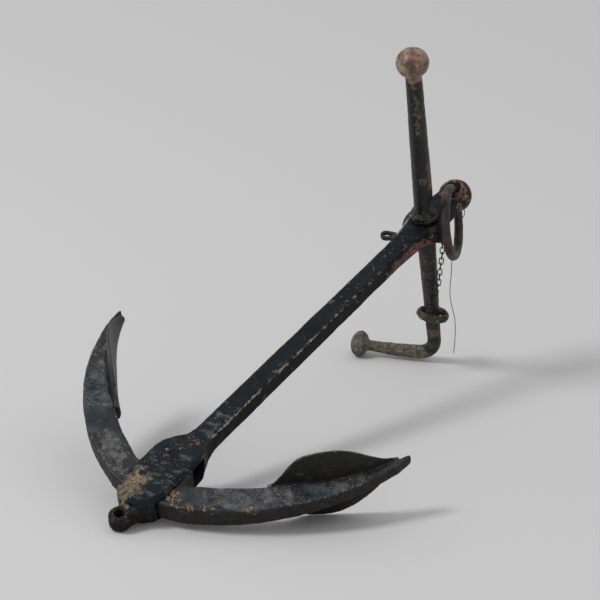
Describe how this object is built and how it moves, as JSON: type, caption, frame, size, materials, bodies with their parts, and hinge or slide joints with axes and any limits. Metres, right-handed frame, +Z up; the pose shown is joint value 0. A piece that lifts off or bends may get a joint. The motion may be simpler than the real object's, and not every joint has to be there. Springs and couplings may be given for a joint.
{
  "type": "stocked anchor",
  "caption": "Forged iron stocked anchor with curved arms, leaf-shaped palms, a bent round stock, a forelock key and a ring, resting on one palm and the bent end of its stock.",
  "frame": {"origin": "centre of the bounding box's base, on the floor that the anchor stands on", "axes": "+Z up; +Y level, in the upright plane that holds the stock, from the crown's end towards the stock; +X level, from the left arm's side towards the right arm's side"},
  "size_m": [0.6756, 0.9786, 0.7893],
  "materials": {
    "black_paint": "old black paint, chipped to primer and rust",
    "grey_paint": "weathered slate-grey paint over rust",
    "dark_iron": "dark brown-black scale and paint",
    "bare_iron": "pitted, grey-olive and brown",
    "crusty_iron": "crusty, corroded",
    "wire": "dull grey wire"
  },
  "bodies": {
    "anchor_body": {"shank": "black_paint", "arms": "grey_paint", "palm_right": "dark_iron", "palm_left": "grey_paint"},
    "ring_body": {"ring": "crusty_iron", "tag_wire": "wire"},
    "stock_body": {"stock": "bare_iron", "forelock_key": "bare_iron", "washer": "crusty_iron", "chain_link_01": "crusty_iron", "chain_link_02": "crusty_iron", "chain_link_03": "crusty_iron", "chain_link_04": "crusty_iron", "chain_link_05": "crusty_iron", "chain_link_06": "crusty_iron", "chain_link_07": "crusty_iron", "chain_link_08": "crusty_iron", "chain_link_09": "crusty_iron", "chain_link_10": "crusty_iron", "chain_link_11": "crusty_iron", "chain_link_12": "crusty_iron", "chain_link_13": "crusty_iron", "chain_link_14": "crusty_iron", "chain_link_15": "crusty_iron"}
  },
  "joints": [
    {"name": "ring_swing", "type": "hinge", "parent": "anchor_body", "child": "ring_body", "pos_m": [0.27645, 0.41261, 0.3922], "axis": [-0.1009, -0.5063, 0.8564], "range_deg": [0, 260]},
    {"name": "stock_turn", "type": "hinge", "parent": "anchor_body", "child": "stock_body", "pos_m": [0.23382, 0.32926, 0.35705], "axis": [0, -0.3885, 0.9214], "range_deg": [-110, 120]}
  ]
}
